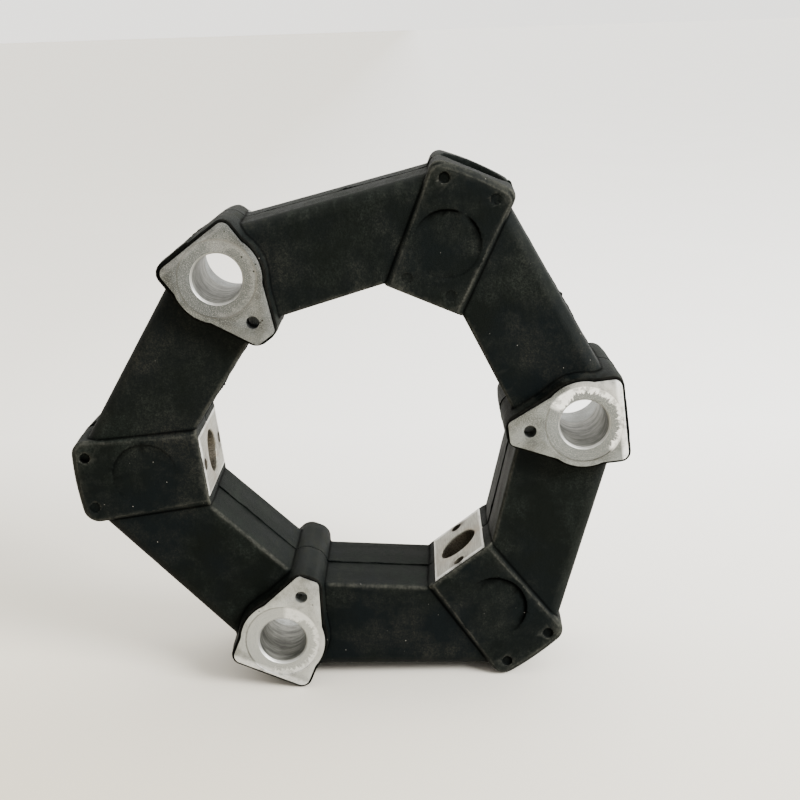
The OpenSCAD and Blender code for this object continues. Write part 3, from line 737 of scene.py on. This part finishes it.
# The tree draws the edge out into a strip of torn height, and gives the strip its thickness.
tree = bpy.data.node_groups.new("parting_flash", "GeometryNodeTree")
for label, kind in (("Geometry", "NodeSocketGeometry"), ("Height", "NodeSocketFloat"),
                    ("Root", "NodeSocketFloat"), ("Thickness", "NodeSocketFloat"),
                    ("Raggedness", "NodeSocketFloat"), ("Seed", "NodeSocketInt"),
                    ("Material", "NodeSocketMaterial")):
    tree.interface.new_socket(name=label, in_out="INPUT", socket_type=kind)
tree.interface.new_socket(name="Geometry", in_out="OUTPUT", socket_type="NodeSocketGeometry")
given = add(tree, "NodeGroupInput").node.outputs
way = add(tree, "GeometryNodeInputNamedAttribute", {"Name": "way_out"}, data_type="FLOAT_VECTOR")
torn = add(tree, "GeometryNodeInputNamedAttribute", {"Name": "torn"}, data_type="FLOAT")
jitter = add(tree, "FunctionNodeRandomValue", {2: 0.0, 3: 1.0, "Seed": given["Seed"]}, out=1,
             data_type="FLOAT")
jitter = add(tree, "Math", (jitter, given["Raggedness"]), operation="MULTIPLY")
jitter = add(tree, "Math", (1.0, jitter), operation="SUBTRACT")
tall = add(tree, "Math", (torn, given["Height"]), operation="MULTIPLY")
tall = add(tree, "Math", (tall, jitter), operation="MULTIPLY")
tall = add(tree, "Math", (tall, given["Root"]), operation="ADD")
lift = add(tree, "VectorMath", {0: way, "Scale": tall}, operation="SCALE")
strip = add(tree, "GeometryNodeExtrudeMesh",
            {"Mesh": given["Geometry"], "Offset": lift, "Offset Scale": 1.0}, out="Mesh", mode="EDGES")
across = add(tree, "CombineXYZ", {"Y": given["Thickness"]})
front = add(tree, "GeometryNodeExtrudeMesh", {"Mesh": strip, "Offset": across, "Individual": False},
            out="Mesh", mode="FACES")
back = add(tree, "GeometryNodeFlipFaces", {"Mesh": strip})
joined = add(tree, "GeometryNodeJoinGeometry", (front,))
tree.links.new(back, joined.node.inputs[0])
merged = add(tree, "GeometryNodeMergeByDistance", {"Geometry": joined, "Distance": 0.002 * MM})
real = add(tree, "GeometryNodeRealizeInstances", {"Geometry": merged})
dressed = add(tree, "GeometryNodeSetMaterial", {"Geometry": real, "Material": given["Material"]})
add(tree, "NodeGroupOutput", {"Geometry": dressed})
grown = flash.modifiers.new("flash", "NODES")
grown.node_group = tree
sizes = {"Height": 0.9 * MM, "Root": 0.42 * MM, "Thickness": 0.22 * MM, "Raggedness": 0.6, "Seed": 4,
         "Material": rubber_material}
for item in tree.interface.items_tree:
    if item.in_out == "INPUT" and item.name in sizes:
        grown[item.identifier] = sizes[item.name]
fin_mesh = bpy.data.meshes.new_from_object(
    flash.evaluated_get(bpy.context.evaluated_depsgraph_get()))
flash.modifiers.clear()
flash.data = fin_mesh
fixed = bmesh.new()
fixed.from_mesh(fin_mesh)
bmesh.ops.delete(fixed, geom=[v for v in fixed.verts if not v.link_faces], context="VERTS")
bmesh.ops.recalc_face_normals(fixed, faces=fixed.faces)
fixed.to_mesh(fin_mesh)
fixed.free()
print("flash:", len(fin_mesh.polygons), "faces")
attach(flash, "root")


# ---------------------------------------------------------------------------------------------
# Floor: a wide sheet of matt off-white paper that runs back out of sight.
FLOOR_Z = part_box("rubber_body")[0][2]
FLOOR_HALF = 40
floor_mesh = bpy.data.meshes.new("floor")
floor_mesh.from_pydata([(x * FLOOR_HALF, y * FLOOR_HALF, FLOOR_Z)
                        for x, y in ((-1, -1), (1, -1), (1, 1), (-1, 1))], [], [(0, 1, 2, 3)])
floor = bpy.data.objects.new("floor", floor_mesh)
bpy.context.scene.collection.objects.link(floor)
# Uncoated paper: matt, with faint clouds 11 cm wide.
mat, t = new_material("matt_paper")
places = add(t, "TexCoord", out="Object")
cloud = add(t, "TexNoise", {"Vector": places, "Scale": 9.0, "Detail": 3.0, "Roughness": 0.6})
paper = add(t, "Mix", {0: cloud, 6: "#eeedea", 7: "#f3f2f0"}, out=2, data_type="RGBA")
# Painted shadow: the paper is made duller and warmer towards the front left, away from the window.
x_m, y_m, _ = add(t, "SeparateXYZ", (places,)).node.outputs
dull = add(t, "Math", (add(t, "MapRange", (y_m, 0.3, -0.15, 0.0, 0.8)),
                       add(t, "MapRange", (x_m, 0.1, -0.3, 0.0, 0.5))), operation="ADD")
paper = add(t, "Mix", {0: dull, 6: paper, 7: "#bcb4a2"}, out=2, data_type="RGBA")
matt = add(t, "BsdfPrincipled", {"Base Color": paper, "Roughness": 0.6})
add(t, "OutputMaterial", {"Surface": matt})
floor_mesh.materials.append(mat)


# ---------------------------------------------------------------------------------------------
# Light: a pale room, brighter behind and on the right, and one wide soft window in front there.
world = bpy.data.worlds.new("pale_room")
bpy.context.scene.world = world
world.use_nodes = True
t = world.node_tree
t.nodes.clear()
x_way, y_way, z_way = add(t, "SeparateXYZ", (add(t, "TexCoord", out="Generated"),)).node.outputs
behind = add(t, "MapRange", (y_way, -0.45, 0.45, 0.42, 2.4), interpolation_type="SMOOTHSTEP")
overhead = add(t, "MapRange", (z_way, 0.25, 0.9, 0.0, 1.6), interpolation_type="SMOOTHSTEP")
on_right = add(t, "Math", (add(t, "MapRange", (x_way, 0.1, 0.8, 0.0, 1.6)),
                           add(t, "MapRange", (z_way, 0.0, 0.3))), operation="MULTIPLY")
strength = behind
for more in (on_right, overhead):
    strength = add(t, "Math", (strength, more), operation="ADD")
tone = add(t, "Mix", {0: add(t, "MapRange", (x_way, -0.7, 0.7)), 6: "#f9f6f0", 7: "#f5f4ef"}, out=2,
           data_type="RGBA")
add(t, "OutputWorld", {"Surface": add(t, "Background", {"Color": tone, "Strength": strength})})

window_light = bpy.data.lights.new("window", "AREA")
window_light.shape = "SQUARE"
window_light.size = 0.7
window_light.energy = 92
window_light.color = linear("#fbfbfa")[:3]
window = bpy.data.objects.new("window", window_light)
window.location = (1.2, -0.82, 0.9)
window.rotation_euler = (-window.location).to_track_quat("-Z", "Y").to_euler()
bpy.context.scene.collection.objects.link(window)


# ---------------------------------------------------------------------------------------------
# Camera: at the photograph's place and angle, found by fitting the bores, pins and corners.
F_PX, WIDTH_PX = 1284.88039, 800
TILT, PAN, ROLL = -0.282054834, 0.0521068438, 0.145394535
camera_data = bpy.data.cameras.new("camera")
camera_data.sensor_width = 36.0
camera_data.lens = 36.0 * F_PX / WIDTH_PX
camera = bpy.data.objects.new("camera", camera_data)
turn = (Matrix.Rotation(-STAND_TURN, 3, "Y") @ Matrix.Rotation(PAN, 3, "Z")
        @ Matrix.Rotation(TILT, 3, "X") @ Matrix.Rotation(ROLL, 3, "Y"))
right, forward, above = turn.col[0], turn.col[1], turn.col[2]
camera.matrix_world = Matrix((right, above, -forward)).transposed().to_4x4()
# Its place on the ring's own axes, turned as the ring stands.
x, y, z = 0.488966892 * PITCH_R, -5.43062869 * PITCH_R - 28.0, 1.79897267 * PITCH_R
camera.location = Vector((x * math.cos(STAND_TURN) - z * math.sin(STAND_TURN), y,
                          x * math.sin(STAND_TURN) + z * math.cos(STAND_TURN))) * MM
bpy.context.scene.collection.objects.link(camera)
bpy.context.scene.camera = camera
